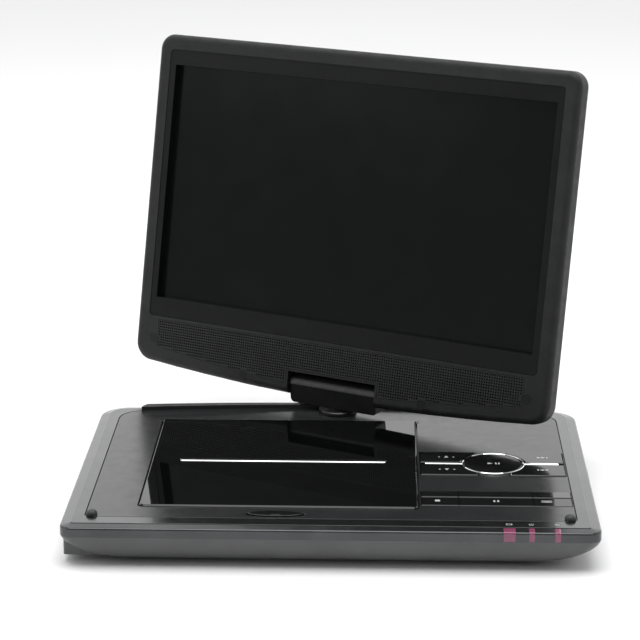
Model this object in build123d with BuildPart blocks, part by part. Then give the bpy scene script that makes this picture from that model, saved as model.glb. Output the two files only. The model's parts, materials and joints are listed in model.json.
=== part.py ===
from build123d import *
import math
import os

os.makedirs("parts", exist_ok=True)

# Portable player with a swivelling, tilting screen. Millimetres and degrees.
# X runs to the right, Y to the back and Z up. The origin is the middle of the base's plan, on the surface
# that the rubber feet stand on. Everything is drawn where it stands at rest: screen up, turned and leant back.

# ------------------------------------------------------------------ driving dimensions

# base body
base_width = 250
base_depth = 189
rear_bow = 4  # the rear edge's middle stands this far behind its ends
under_z = 1.3  # flat underside of the lower case
parting_z = 14.9  # joint between lower and upper case
top_z = 20.5
wall = 2.0
bevel_width = 4.6
bevel_drop = 0.9
panel_thickness = 1.6
plate_thickness = 1.6  # plate of the upper case that the panel lies on
panel_bottom = top_z - panel_thickness
plate_bottom = panel_bottom - plate_thickness

# hull sections: height, inset at the front and back, inset at the sides, front corner radius
hull_sections = (
    (under_z, 12.0, 22.0, 16),
    (3.5, 6.2, 13.5, 14),
    (7.0, 2.6, 6.5, 11),
    (11.0, 0.8, 2.0, 8),
    (parting_z, 0.0, 0.0, 6),
)

# satin panel
seam_x = 114.4
panel_front = -81.2
panel_rear = 89.2
panel_bow = 6.2
seam_gap = 0.3
rim_step = 0.3  # the flat rim stands this far above the start of the bevel
edge_round = 1.0

# disc lid and well
lid_left = -90.7
lid_right = 41.0
lid_front = -66.2
lid_axis_y = 66.1
lid_axis_z = 19.4
lid_knuckle = 1.8
lid_bottom = 19.6
lid_top = lid_axis_z + lid_knuckle
lid_gap = 0.7
disc_x = (lid_left + lid_right) / 2
disc_y = 1.95
well_radius = 62.5
well_floor = 15.0
well_bottom = 13.4
pin_radius = 0.8
lid_strip_left = -76.3
lid_strip_right = 25.7
lid_strip_width = 3.4
lid_strip_y = -0.1

# keys
keys_left = 42.2
keys_y = -0.35  # middle line of the key cluster
keys_right = 114.0
cluster_half = 17.8
ring_x = 78.6
ring_outer = 15.6
ring_inner = 14.85
ring_reach = 7.5  # the direction keys stop this far from the ring's middle line
bar_width = 2.2
row_front = -61.6
row_crease = -49.7
row_back = -41.0
column_edges = (keys_left, 60.3, 95.6, keys_right)
key_gap = 0.45
key_bevel = 0.45
key_top = 21.0
key_bottom = 19.8
stem_bottom = 17.8
stem_radius = 1.6
switch_top = 16.9

# hinge
pivot_y = 83.7
tilt_z = 32.1
swivel_rest = -28.5  # screen turned clockwise, seen from above
lean_rest = 10.3  # screen leant back from upright
barrel_radius = 7.1
block_width = 51.6
block_bottom = 23.5
crease_angle = 16  # where the block's round top ends, above its axis
neck_half = 5.0
notch_width = 52.4
collar_radius = 10.0
shaft_radius = 3.5
tilt_pin_radius = 2.0

# screen, measured along the screen from the tilt axis; depths are in front of that axis
screen_width = 249
screen_top = 178.4
screen_bottom = -5.0
screen_bow = 6.3
front_n = 8.7
split_n = 1.2
back_n = -5.3
skin = 2.0
bezel_width = 233.0
bezel_bottom = 25.7
bezel_top = 170.2
window_width = 226.0
window_bottom = 35.8
window_top = 162.3
glass_n = 4.3
notch_top = 7.5
grille_half = 110.0
grille_top = 23.6
speaker_x = 79.0
speaker_v = 14.0
cap_spots = ((-112.5, 13.3), (112.5, 13.3), (-54.0, 0.9), (54.0, 0.9))


# ------------------------------------------------------------------ shared outlines and placements


def save(piece, name):
    """Label a finished piece and write its STEP file."""
    piece.part.label = name
    export_step(piece.part, f"parts/{name}.step")


def base_outline(ends, sides, front_radius, rear_radius=15):
    """The base's plan: straight front, bowed rear, rounded corners, moved in by ends and sides."""
    half = base_width / 2 - sides
    front = -base_depth / 2 + ends
    rear = base_depth / 2 - ends
    with BuildSketch() as outline:
        with BuildLine():
            Polyline((-half, rear - rear_bow), (-half, front), (half, front), (half, rear - rear_bow))
            ThreePointArc((half, rear - rear_bow), (0, rear), (-half, rear - rear_bow))
        make_face()
        fillet(outline.vertices().group_by(Axis.Y)[0], front_radius)
        rear_corners = outline.vertices().filter_by_position(Axis.Y, rear - rear_bow - 0.1, rear - rear_bow + 0.1)
        fillet(rear_corners, rear_radius)
    return outline.sketch


def panel_outline(inset):
    """The satin panel's plan, whose rear edge follows the rail behind it."""
    half = seam_x - inset
    rear = panel_rear - inset
    with BuildSketch() as outline:
        with BuildLine():
            Polyline((-half, rear - panel_bow * 1.3), (-half, panel_front + inset), (half, panel_front + inset),
                     (half, rear - panel_bow * 1.3))
            ThreePointArc((half, rear - panel_bow * 1.3), (0, rear), (-half, rear - panel_bow * 1.3))
        make_face()
        fillet(outline.vertices().group_by(Axis.Y)[0], 3)
        fillet(outline.vertices().filter_by_position(Axis.Y, rear - panel_bow * 1.3 - 0.1,
                                                     rear - panel_bow * 1.3 + 0.1), 14)
    return outline.sketch


def hull(inward):
    """The boat-shaped solid of the lower body, with its skin moved inwards."""
    squeeze = (parting_z - under_z - inward) / (parting_z - under_z)
    with BuildPart() as body:
        for height, ends, sides, radius in hull_sections:
            with BuildSketch(Plane.XY.offset(parting_z - (parting_z - height) * squeeze)):
                add(base_outline(ends + inward, sides + inward, radius))
        loft()
    return body.part


def screen_outline(inset):
    """The screen housing's front view, in its own plane: square top, bowed bottom, rounded corners."""
    half = screen_width / 2 - inset
    low = screen_bottom + inset
    with BuildSketch() as outline:
        with BuildLine():
            Polyline((-half, low + screen_bow), (-half, screen_top - inset), (half, screen_top - inset),
                     (half, low + screen_bow))
            ThreePointArc((half, low + screen_bow), (0, low), (-half, low + screen_bow))
        make_face()
        fillet(outline.vertices().group_by(Axis.Y)[-1], 8 - inset)
        fillet(outline.vertices().filter_by_position(Axis.Y, low + screen_bow - 0.1, low + screen_bow + 0.1),
               10 - inset)
    return outline.sketch


def grille_outline(gap):
    """The dotted band below the bezel: straight top, bowed bottom, cut out around the hinge notch."""
    half = grille_half - gap
    low = 0.6 + gap
    rise = 8.6
    with BuildSketch() as outline:
        with BuildLine():
            Polyline((-half, low + rise), (-half, grille_top - gap), (half, grille_top - gap), (half, low + rise))
            ThreePointArc((half, low + rise), (0, low), (-half, low + rise))
        make_face()
        with Locations((0, 0)):
            Rectangle(notch_width + 3 + 2 * gap, 2 * (notch_top + 1.2 + gap), mode=Mode.SUBTRACT)
        with Locations(*cap_spots):
            Circle(3.0 + gap, mode=Mode.SUBTRACT)
    return outline.sketch


swing = math.radians(swivel_rest)
lean = math.radians(lean_rest)
pivot = Vector(0, pivot_y, tilt_z)
along = Vector(math.cos(swing), math.sin(swing), 0)  # along the tilt axis, towards the screen's right end
backwards = Vector(-math.sin(swing), math.cos(swing), 0)
facing = Vector(0, 0, math.sin(lean)) - backwards * math.cos(lean)  # the way the screen looks
screen_plane = Plane(origin=pivot, x_dir=along, z_dir=facing)
swivel_plane = Plane(origin=(0, pivot_y, 0), x_dir=along, z_dir=(0, 0, 1))
# section across the tilt axis: its x runs backwards and its y runs up
section_plane = Plane(origin=pivot, x_dir=backwards, z_dir=along)

# ------------------------------------------------------------------ lower case

port_left = -124.0
port_right = -96.0
port_front = -86.5
port_rear = 18.0
port_bottom = 3.6
jack_z = 10.0
jack_spots = (-71.0, -57.0, -43.0)
jack_radius = 1.8
jack_depth = 13.0
power_inlet_y = -27.0
switch_y = -8.0
battery_left = -28.5
battery_right = 41.8
battery_front = -81.5
battery_rear = -21.0
battery_bottom = 0.3
battery_top = 9.3
battery_gap = 0.3
latch_x = (battery_left + battery_right) / 2
foot_spots = ((-84.5, -77.5), (84.5, -77.5), (-84.5, 72.0), (84.5, 72.0))
foot_length = 25
foot_width = 7
foot_top = 2.0
boss_spots = ((-98, -60), (98, -64), (-98, 62), (98, 62), (-46, 78), (46, 78), (50, -78))
boss_joint_z = 11.0  # the two cases' screw bosses meet here
board_posts = ((52, -66), (100, -50), (52, 66), (100, 50))
board_bottom = 6.6
board_top = 8.2
screw_seat_z = 7.3

with BuildPart() as lower_case:
    add(hull(0))
    with BuildSketch(Plane.XY.offset(port_bottom)):
        with Locations(((port_left + port_right) / 2, (port_front + port_rear) / 2)):
            RectangleRounded(port_right - port_left, port_rear - port_front, 1.5)
    extrude(amount=parting_z - port_bottom)
    add(hull(wall), mode=Mode.SUBTRACT)
    with BuildSketch(Plane.XY.offset(port_bottom + wall)):
        with Locations(((port_left + port_right) / 2, (port_front + port_rear) / 2)):
            Rectangle(port_right - port_left - 2 * wall, port_rear - port_front - 2 * wall)
    extrude(amount=parting_z - port_bottom - wall, mode=Mode.SUBTRACT)
    # screw bosses and board posts
    with BuildSketch(Plane.XY.offset(under_z)):
        with Locations(*boss_spots):
            Circle(3.6)
    extrude(amount=boss_joint_z - under_z)
    with BuildSketch(Plane.XY.offset(under_z + wall / 2)):
        with Locations(*board_posts):
            Circle(2.6)
    extrude(amount=board_bottom - under_z - wall / 2)
    with BuildSketch(Plane.XY.offset(under_z + wall + 0.2)):
        with Locations(*board_posts):
            Circle(0.95)
    extrude(amount=board_bottom - under_z, mode=Mode.SUBTRACT)
    with BuildSketch(Plane.XY):
        with Locations(*boss_spots):
            Circle(2.7)
    extrude(amount=screw_seat_z, mode=Mode.SUBTRACT)
    with BuildSketch(Plane.XY):
        with Locations(*boss_spots):
            Circle(1.35)
    extrude(amount=boss_joint_z, mode=Mode.SUBTRACT)
    # battery bay: a box open downwards
    with BuildSketch(Plane.XY.offset(under_z)):
        with Locations((latch_x, (battery_front + battery_rear) / 2)):
            Rectangle(battery_right - battery_left + 3, battery_rear - battery_front + 3)
    extrude(amount=battery_top + 1.5 - under_z)
    with BuildSketch(Plane.XY):
        with Locations((latch_x, (battery_front + battery_rear) / 2)):
            Rectangle(battery_right - battery_left + 2 * battery_gap, battery_rear - battery_front + 2 * battery_gap)
    extrude(amount=battery_top + battery_gap, mode=Mode.SUBTRACT)
    # latch slot in the floor and window for its tongue in the bay wall
    with BuildSketch(Plane.XY):
        with Locations((latch_x, -13.0)):
            Rectangle(10.6, 7.4)
    extrude(amount=3.6, mode=Mode.SUBTRACT)
    with BuildSketch(Plane.XY.offset(3.3)):
        with Locations((latch_x, -20.0)):
            Rectangle(14.8, 4.0)
    extrude(amount=2.1, mode=Mode.SUBTRACT)
    # pockets that the feet are glued into
    with BuildSketch(Plane.XY):
        with Locations(*foot_spots):
            SlotOverall(foot_length, foot_width)
    extrude(amount=foot_top, mode=Mode.SUBTRACT)
    # openings for the sockets and the power switch
    with BuildSketch(Plane.YZ.offset(port_left - 1)):
        with Locations(*[(y, jack_z) for y in jack_spots]):
            Circle(3.1)
        with Locations((power_inlet_y, jack_z)):
            Circle(4.1)
        with Locations((switch_y, jack_z)):
            Rectangle(9.4, 3.4)
    extrude(amount=wall + 1.5, mode=Mode.SUBTRACT)
save(lower_case, "lower_case")

with BuildPart() as battery_pack:
    with BuildSketch(Plane.XY.offset(battery_bottom)):
        with Locations((latch_x, (battery_front + battery_rear) / 2)):
            Rectangle(battery_right - battery_left, battery_rear - battery_front)
    extrude(amount=battery_top - battery_bottom)
    fillet(battery_pack.edges().filter_by(Axis.Z), 1.5)
    chamfer(battery_pack.faces().sort_by(Axis.Z)[0].edges(), 0.6)
    # room for the cells
    with BuildSketch(Plane.XY.offset(battery_bottom + 1.2)):
        with Locations((latch_x, (battery_front + battery_rear) / 2)):
            Rectangle(66.6, 54.6)
    extrude(amount=battery_top - battery_bottom - 2.4, mode=Mode.SUBTRACT)
    # catch pocket for the latch
    with BuildSketch(Plane.XY.offset(3.2)):
        with Locations((latch_x, battery_rear)):
            Rectangle(15.0, 4.2)
    extrude(amount=2.3, mode=Mode.SUBTRACT)
save(battery_pack, "battery_pack")

with BuildPart() as battery_cells:
    with BuildSketch(Plane.XY.offset(battery_bottom + 1.3)):
        with Locations((latch_x - 16.6, (battery_front + battery_rear) / 2),
                       (latch_x + 16.6, (battery_front + battery_rear) / 2)):
            RectangleRounded(32.0, 49.0, 2.0)
    extrude(amount=6.4)
save(battery_cells, "battery_cells")

with BuildPart() as battery_latch:
    with BuildSketch(Plane.XY.offset(3.7)):
        with Locations((latch_x, -15.0)):
            Rectangle(14.0, 15.0)
    extrude(amount=1.3)
    with BuildSketch(Plane.XY.offset(1.5)):
        with Locations((latch_x, -14.4)):
            RectangleRounded(10.0, 3.6, 0.8)
    extrude(amount=2.2)
save(battery_latch, "battery_latch")

with BuildPart() as rubber_feet:
    with BuildSketch(Plane.XY):
        with Locations(*foot_spots):
            SlotOverall(foot_length - 0.2, foot_width - 0.2)
    extrude(amount=foot_top)
    fillet(rubber_feet.faces().group_by(Axis.Z)[0].edges(), 0.5)
save(rubber_feet, "rubber_feet")

with BuildPart() as case_screws:
    with BuildSketch(Plane.XY.offset(screw_seat_z - 2.2)):
        with Locations(*boss_spots):
            Circle(2.4)
    extrude(amount=2.2)
    with BuildSketch(Plane.XY.offset(screw_seat_z)):
        with Locations(*boss_spots):
            Circle(1.2)
    extrude(amount=9.0)
    # cross slots in the heads
    with BuildSketch(Plane.XY.offset(screw_seat_z - 2.2)):
        with Locations(*boss_spots):
            Rectangle(2.6, 0.6)
            Rectangle(0.6, 2.6)
    extrude(amount=1.0, mode=Mode.SUBTRACT)
save(case_screws, "case_screws")

# ------------------------------------------------------------------ sockets and switch on the left side

with BuildPart() as side_sockets:
    for y in jack_spots:
        with BuildSketch(Plane.YZ.offset(port_left + wall + 0.2)):
            with Locations((y, jack_z)):
                Rectangle(7.6, 6.8)
        extrude(amount=12.0)
        with BuildSketch(Plane.YZ.offset(port_left - 0.3)):
            with Locations((y, jack_z)):
                Circle(2.95)
        extrude(amount=wall + 0.5)
        with BuildSketch(Plane.YZ.offset(port_left - 1)):
            with Locations((y, jack_z)):
                Circle(jack_radius)
        extrude(amount=0.7 + jack_depth, mode=Mode.SUBTRACT)
    # power inlet with its middle pin
    with BuildSketch(Plane.YZ.offset(port_left + wall + 0.2)):
        with Locations((power_inlet_y, jack_z)):
            Rectangle(9.6, 6.8)
    extrude(amount=11.5)
    with BuildSketch(Plane.YZ.offset(port_left - 0.1)):
        with Locations((power_inlet_y, jack_z)):
            Circle(3.95)
    extrude(amount=wall + 0.3)
    with BuildSketch(Plane.YZ.offset(port_left - 1)):
        with Locations((power_inlet_y, jack_z)):
            Circle(2.9)
    extrude(amount=11.2, mode=Mode.SUBTRACT)
    with BuildSketch(Plane.YZ.offset(port_left + 1.2)):
        with Locations((power_inlet_y, jack_z)):
            Circle(0.95)
    extrude(amount=10.0)
    # body of the power switch, standing behind its slider
    with BuildSketch(Plane.YZ.offset(port_left + wall + 1.5)):
        with Locations((switch_y, jack_z)):
            Rectangle(15.0, 6.8)
    extrude(amount=4.5)
save(side_sockets, "side_sockets")

with BuildPart() as power_switch:
    with BuildSketch(Plane.YZ.offset(port_left - 1.0)):
        with Locations((switch_y - 2.0, jack_z)):
            RectangleRounded(4.8, 3.0, 0.5)
    extrude(amount=1.0 + wall + 0.3)
    with BuildSketch(Plane.YZ.offset(port_left + wall + 0.2)):
        with Locations((switch_y - 2.0, jack_z)):
            Rectangle(9.0, 5.0)
    extrude(amount=1.0)
save(power_switch, "power_switch")

# ------------------------------------------------------------------ upper case, panel and rail

window_spots = ((82.5, 5.5), (92.8, 2.7), (104.7, 2.7))
window_skin = 1.2
well_left = lid_left - 2.4
well_right = lid_right + 1.6
well_front = lid_front - 2.4
well_rear = 71.0
front_edge = -base_depth / 2
bracket_bottom = 13.6
bracket_top = 15.2
bracket_spots = ((-17, 78), (17, 78), (-17, 88.5), (17, 88.5))
key_board_bottom = 15.0
key_board_top = 16.0
peg_spots = ((49, -57.6), (109, -57.6), (49, 26), (109, 26))
cluster_stems = ((54.5, keys_y - 9.5), (54.5, keys_y + 9.5), (102.5, keys_y - 9.5), (102.5, keys_y + 9.5))
row_stems = tuple(((a + b) / 2, row_crease - 1.6) for a, b in zip(column_edges, column_edges[1:]))
button_y = -75.2
button_x = disc_x - 1.0
button_length = 28.0
button_height = 8.2
button_margin = 1.3


def window_section(clearance, outside):
    """Section of an indicator window or its seat: it wraps over the bevel and down the front wall."""
    low = parting_z + 0.2 - clearance
    reach = bevel_width * 0.95 + clearance
    rise = reach * (bevel_drop - rim_step) / bevel_width
    inner = window_skin + clearance
    with BuildSketch() as section:
        with BuildLine():
            Polyline(
                (front_edge - outside, low),
                (front_edge - outside, bevel_z + outside),
                (front_edge + reach, bevel_z + rise + outside),
                (front_edge + reach, bevel_z + rise - inner),
                (front_edge + inner, bevel_z - inner),
                (front_edge + inner, low),
                close=True,
            )
        make_face()
        fillet(section.vertices().group_by(Axis.X)[0].sort_by(Axis.Y)[-1], edge_round)
    return section.sketch


# outside of the upper case: height below the bevel's foot and inset, up the wall and round onto the bevel
bevel_z = top_z - bevel_drop
rim_sections = [(parting_z, 0.0)]
for step in range(5):
    turn = math.radians(step * 20)
    rim_sections.append((bevel_z - edge_round * (1 - math.sin(turn)), edge_round * (1 - math.cos(turn))))
rim_sections.append((top_z - rim_step, bevel_width))

with BuildPart() as upper_case:
    for height, inset in rim_sections:
        with BuildSketch(Plane.XY.offset(height)):
            add(base_outline(inset, inset, 6 - inset, 15 - inset))
    loft(ruled=True)
    # flat rim, standing a little above the bevel
    with BuildSketch(Plane.XY.offset(plate_bottom)):
        add(base_outline(bevel_width + 0.2, bevel_width + 0.2, 1.6, 10))
    extrude(amount=top_z - plate_bottom)
    fillet(upper_case.faces().sort_by(Axis.Z)[-1].edges(), rim_step * 0.8)
    # hollow below the plate, panel recess above it
    with BuildSketch(Plane.XY.offset(parting_z)):
        add(base_outline(wall, wall, 5, 13))
    extrude(amount=plate_bottom - parting_z, mode=Mode.SUBTRACT)
    with BuildSketch(Plane.XY.offset(panel_bottom)):
        add(panel_outline(-seam_gap))
    extrude(amount=top_z - panel_bottom, mode=Mode.SUBTRACT)
    # openings through the plate: disc well, keys, lid button and hinge shaft
    with BuildSketch(Plane.XY.offset(plate_bottom)):
        with Locations(((well_left + well_right) / 2, (well_front + well_rear) / 2)):
            Rectangle(well_right - well_left + 0.3, well_rear - well_front + 0.3)
        with Locations(*cluster_stems, *row_stems, (ring_x, keys_y)):
            Circle(stem_radius + 0.3)
        with Locations((button_x, button_y)):
            Rectangle(14.6, 3.6)
        with Locations((0, pivot_y)):
            Circle(shaft_radius + 0.6)
    extrude(amount=plate_thickness, mode=Mode.SUBTRACT)
    # screw bosses under the plate, for the case and for the hinge bracket
    with BuildSketch(Plane.XY.offset(boss_joint_z)):
        with Locations(*boss_spots):
            Circle(3.2)
    extrude(amount=plate_bottom - boss_joint_z)
    with BuildSketch(Plane.XY.offset(boss_joint_z)):
        with Locations(*boss_spots):
            Circle(1.25)
    extrude(amount=plate_bottom - boss_joint_z, mode=Mode.SUBTRACT)
    with BuildSketch(Plane.XY.offset(bracket_top)):
        with Locations(*bracket_spots):
            Circle(2.4)
            Circle(0.95, mode=Mode.SUBTRACT)
    extrude(amount=plate_bottom - bracket_top)
    # shouldered pegs that the key board is staked to
    with BuildSketch(Plane.XY.offset(key_board_top)):
        with Locations(*peg_spots):
            Circle(2.0)
    extrude(amount=plate_bottom - key_board_top)
    with BuildSketch(Plane.XY.offset(key_board_bottom - 0.5)):
        with Locations(*peg_spots):
            Circle(1.0)
    extrude(amount=key_board_top - key_board_bottom + 0.5)
    # seats of the three indicator windows
    for centre, width in window_spots:
        with BuildSketch(Plane.YZ.offset(centre - width / 2 - 0.05)):
            add(window_section(0.05, 1.0))
        extrude(amount=width + 0.1, mode=Mode.SUBTRACT)
save(upper_case, "upper_case")

with BuildPart() as indicator_windows:
    for centre, width in window_spots:
        with BuildSketch(Plane.YZ.offset(centre - width / 2)):
            add(window_section(0, 0))
        extrude(amount=width)
save(indicator_windows, "indicator_windows")

# small lamps on a strip of board behind the windows
with BuildPart() as status_lights:
    with BuildSketch(Plane.XZ.offset(89.8)):
        with Locations((93.5, 16.4)):
            Rectangle(30, 1.7)
    extrude(amount=0.8)
    with BuildSketch(Plane.XZ.offset(90.6)):
        with Locations(*[(centre, 16.4) for centre, width in window_spots]):
            Rectangle(2.6, 1.5)
    extrude(amount=1.4)
save(status_lights, "status_lights")

ear_width = 1.1
ear_half = 1.5
ear_spots = (lid_left - 0.3 - ear_width / 2, lid_right + 0.3 + ear_width / 2)

with BuildPart() as top_panel:
    with BuildSketch(Plane.XY.offset(panel_bottom)):
        add(panel_outline(0))
        with Locations(((lid_left + lid_right) / 2, (lid_front + lid_axis_y + lid_knuckle) / 2)):
            RectangleRounded(lid_right - lid_left + 2 * lid_gap, lid_axis_y + lid_knuckle - lid_front + 2 * lid_gap, 2.2,
                             mode=Mode.SUBTRACT)
        with Locations(*[(x, lid_axis_y) for x in ear_spots]):
            Rectangle(ear_width + 0.3, 2 * ear_half + 0.3, mode=Mode.SUBTRACT)
        with Locations(((keys_left + ring_x - ring_reach) / 2, keys_y)):
            Rectangle(ring_x - ring_reach - keys_left, 2 * cluster_half, mode=Mode.SUBTRACT)
        with Locations(((keys_right + ring_x + ring_reach) / 2, keys_y)):
            Rectangle(keys_right - ring_x - ring_reach, 2 * cluster_half, mode=Mode.SUBTRACT)
        with Locations((ring_x, keys_y)):
            Circle(ring_outer + 0.1, mode=Mode.SUBTRACT)
        with Locations(((keys_left + keys_right) / 2, (row_front + row_back) / 2)):
            Rectangle(keys_right - keys_left, row_back - row_front, mode=Mode.SUBTRACT)
        with Locations((button_x, button_y)):
            Ellipse(button_length / 2, button_height / 2, mode=Mode.SUBTRACT)
        with Locations((0, pivot_y)):
            Circle(shaft_radius + 0.6, mode=Mode.SUBTRACT)
        with Locations((-111.3, -78.7), (111.3, -78.7)):
            Circle(1.2, mode=Mode.SUBTRACT)
    extrude(amount=panel_thickness)
    upper_face = top_panel.faces().sort_by(Axis.Z)[-1]
    chamfer(upper_face.outer_wire().edges() + upper_face.edges().filter_by(GeomType.ELLIPSE), 0.25)
save(top_panel, "top_panel")

rail_height = 2.3
rail_half = 104
rail_front = panel_rear + 0.2
rail_rear = 92.2
with BuildPart() as rear_rail:
    with BuildSketch(Plane.XY.offset(top_z - bevel_drop)):
        with BuildLine():
            Line((-rail_half, rail_front - panel_bow * 1.08), (-rail_half + 2.5, rail_rear - 5.2))
            ThreePointArc((-rail_half + 2.5, rail_rear - 5.2), (0, rail_rear), (rail_half - 2.5, rail_rear - 5.2))
            Line((rail_half - 2.5, rail_rear - 5.2), (rail_half, rail_front - panel_bow * 1.08))
            ThreePointArc((rail_half, rail_front - panel_bow * 1.08), (0, rail_front),
                          (-rail_half, rail_front - panel_bow * 1.08))
        make_face()
        with Locations((0, pivot_y)):
            Circle(collar_radius + 1.0, mode=Mode.SUBTRACT)
    extrude(amount=bevel_drop + rail_height)
    chamfer(rear_rail.faces().group_by(Axis.Z)[-1].edges(), 0.4)
    # its foot follows the case's bevel
    add(upper_case.part, mode=Mode.SUBTRACT)
save(rear_rail, "rear_rail")

bumper_spots = ((-111.3, -78.7), (111.3, -78.7))
bumper_radius = 2.7
bumper_top = 22.9
with BuildPart() as screen_bumpers:
    with BuildSketch(Plane.XY.offset(top_z)):
        with Locations(*bumper_spots):
            Circle(bumper_radius)
    extrude(amount=bumper_top - top_z)
    fillet(screen_bumpers.faces().group_by(Axis.Z)[-1].edges(), 2.0)
    with BuildSketch(Plane.XY.offset(panel_bottom)):
        with Locations(*bumper_spots):
            Circle(1.15)
    extrude(amount=panel_thickness)
save(screen_bumpers, "screen_bumpers")

# ------------------------------------------------------------------ disc lid and its button

with BuildPart() as disc_lid:
    with BuildSketch(Plane.XY.offset(lid_bottom)):
        with Locations(((lid_left + lid_right) / 2, (lid_front + lid_axis_y) / 2)):
            Rectangle(lid_right - lid_left, lid_axis_y - lid_front)
    extrude(amount=lid_top - lid_bottom)
    fillet(disc_lid.edges().filter_by(Axis.Z).group_by(Axis.Y)[0], 2.6)
    chamfer(disc_lid.faces().sort_by(Axis.Z)[-1].edges().group_by(Axis.Y)[:-1], 0.7)
    # round knuckle along the rear edge, with a moulded stub at each end
    with BuildSketch(Plane.YZ.offset(lid_left)):
        with Locations((lid_axis_y, lid_axis_z)):
            Circle(lid_knuckle)
    extrude(amount=lid_right - lid_left)
    with BuildSketch(Plane.YZ.offset(lid_left - 1.5)):
        with Locations((lid_axis_y, lid_axis_z)):
            Circle(pin_radius)
    extrude(amount=lid_right - lid_left + 3.0)
    # tab that the catch holds
    with BuildSketch(Plane.XY.offset(15.8)):
        with Locations((disc_x, -62.0)):
            Rectangle(12.0, 1.2)
    extrude(amount=lid_bottom - 15.8)
    # groove for the bright strip
    with BuildSketch(Plane.XY.offset(lid_top - 0.6)):
        with Locations(((lid_strip_left + lid_strip_right) / 2, lid_strip_y)):
            RectangleRounded(lid_strip_right - lid_strip_left + 0.1, lid_strip_width + 0.1, 0.8)
    extrude(amount=1.0, mode=Mode.SUBTRACT)
save(disc_lid, "disc_lid")

with BuildPart() as lid_strip:
    with BuildSketch(Plane.XY.offset(lid_top - 0.6)):
        with Locations(((lid_strip_left + lid_strip_right) / 2, lid_strip_y)):
            RectangleRounded(lid_strip_right - lid_strip_left, lid_strip_width, 0.8)
    extrude(amount=1.0)
    chamfer(lid_strip.faces().sort_by(Axis.Z)[-1].edges(), 0.3)
    # shallow channel between two bright ridges
    with BuildSketch(Plane.XY.offset(lid_top + 0.1)):
        with Locations(((lid_strip_left + lid_strip_right) / 2, lid_strip_y)):
            Rectangle(lid_strip_right - lid_strip_left - 4, 1.0)
    extrude(amount=1.0, mode=Mode.SUBTRACT)
save(lid_strip, "lid_strip")

button_travel = 0.8
with BuildPart() as open_button:
    with BuildSketch(Plane.XY.offset(panel_bottom + button_travel + 0.1)):
        with Locations((button_x, button_y)):
            Ellipse(button_length / 2 - button_margin, button_height / 2 - 0.5)
    extrude(amount=1.2)
    fillet(open_button.faces().sort_by(Axis.Z)[-1].edges(), 0.45)
    # finger hollow across the top
    with Locations((button_x, button_y + 1.2, top_z + 18.1)):
        Sphere(18.0, mode=Mode.SUBTRACT)
    with BuildSketch(Plane.XY.offset(plate_bottom - 0.1)):
        with Locations((button_x, button_y)):
            Rectangle(14.0, 3.0)
    extrude(amount=panel_bottom + button_travel + 0.2 - plate_bottom + 0.1)
    # foot wider than the hole, so that the button cannot be lifted out
    with BuildSketch(Plane.XY.offset(plate_bottom - 1.2)):
        with Locations((button_x, button_y)):
            Rectangle(18.0, 3.0)
    extrude(amount=1.1)
save(open_button, "open_button")

# ------------------------------------------------------------------ keys

key_board_left = 46.0
key_board_right = 112.0
key_board_front = -60.4
key_board_rear = 29.0

with BuildPart() as key_trim:
    with BuildSketch(Plane.XY.offset(panel_bottom)):
        with Locations((ring_x, keys_y)):
            Circle(ring_outer)
        with Locations(((45.0 + ring_x) / 2, keys_y)):
            Rectangle(ring_x - 45.0, bar_width)
        with Locations(((111.0 + ring_x) / 2, keys_y)):
            Rectangle(111.0 - ring_x, bar_width)
        with Locations((ring_x, keys_y)):
            Circle(ring_inner, mode=Mode.SUBTRACT)
    extrude(amount=21.2 - panel_bottom)
    chamfer(key_trim.faces().sort_by(Axis.Z)[-1].edges(), 0.3)
save(key_trim, "key_trim")


def stem(x, y):
    """Stem that carries a key's push down to its switch."""
    with BuildPart() as post:
        with BuildSketch(Plane.XY.offset(stem_bottom)):
            with Locations((x, y)):
                Circle(stem_radius)
        extrude(amount=key_bottom + 0.2 - stem_bottom)
    return post.part


def cluster_key(left, right, front, rear):
    """Direction key: a corner block cut back around the ring."""
    with BuildPart() as cap:
        with BuildSketch(Plane.XY.offset(key_bottom)):
            with Locations(((left + right) / 2, (front + rear) / 2)):
                Rectangle(right - left, rear - front)
            with Locations((ring_x, keys_y)):
                Circle(ring_outer + key_gap, mode=Mode.SUBTRACT)
        extrude(amount=key_top - key_bottom)
        chamfer(cap.faces().sort_by(Axis.Z)[-1].edges(), key_bevel)
    return cap.part


bar_edge = bar_width / 2 + key_gap
left_span = (keys_left + key_gap, ring_x - ring_reach - key_gap)
right_span = (ring_x + ring_reach + key_gap, keys_right - key_gap)
front_span = (keys_y - cluster_half + key_gap, keys_y - bar_edge)
rear_span = (keys_y + bar_edge, keys_y + cluster_half - key_gap)

with BuildPart() as volume_down_key:
    add(cluster_key(*left_span, *front_span))
    add(stem(*cluster_stems[0]))
save(volume_down_key, "volume_down_key")

with BuildPart() as volume_up_key:
    add(cluster_key(*left_span, *rear_span))
    add(stem(*cluster_stems[1]))
save(volume_up_key, "volume_up_key")

with BuildPart() as skip_back_key:
    add(cluster_key(*right_span, *front_span))
    add(stem(*cluster_stems[2]))
save(skip_back_key, "skip_back_key")

with BuildPart() as skip_forward_key:
    add(cluster_key(*right_span, *rear_span))
    add(stem(*cluster_stems[3]))
save(skip_forward_key, "skip_forward_key")

with BuildPart() as play_key:
    with BuildSketch(Plane.XY.offset(key_bottom)):
        with Locations((ring_x, keys_y)):
            Circle(ring_inner - key_gap)
    extrude(amount=key_top - key_bottom)
    chamfer(play_key.faces().sort_by(Axis.Z)[-1].edges(), key_bevel)
    add(stem(ring_x, keys_y))
save(play_key, "play_key")


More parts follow.
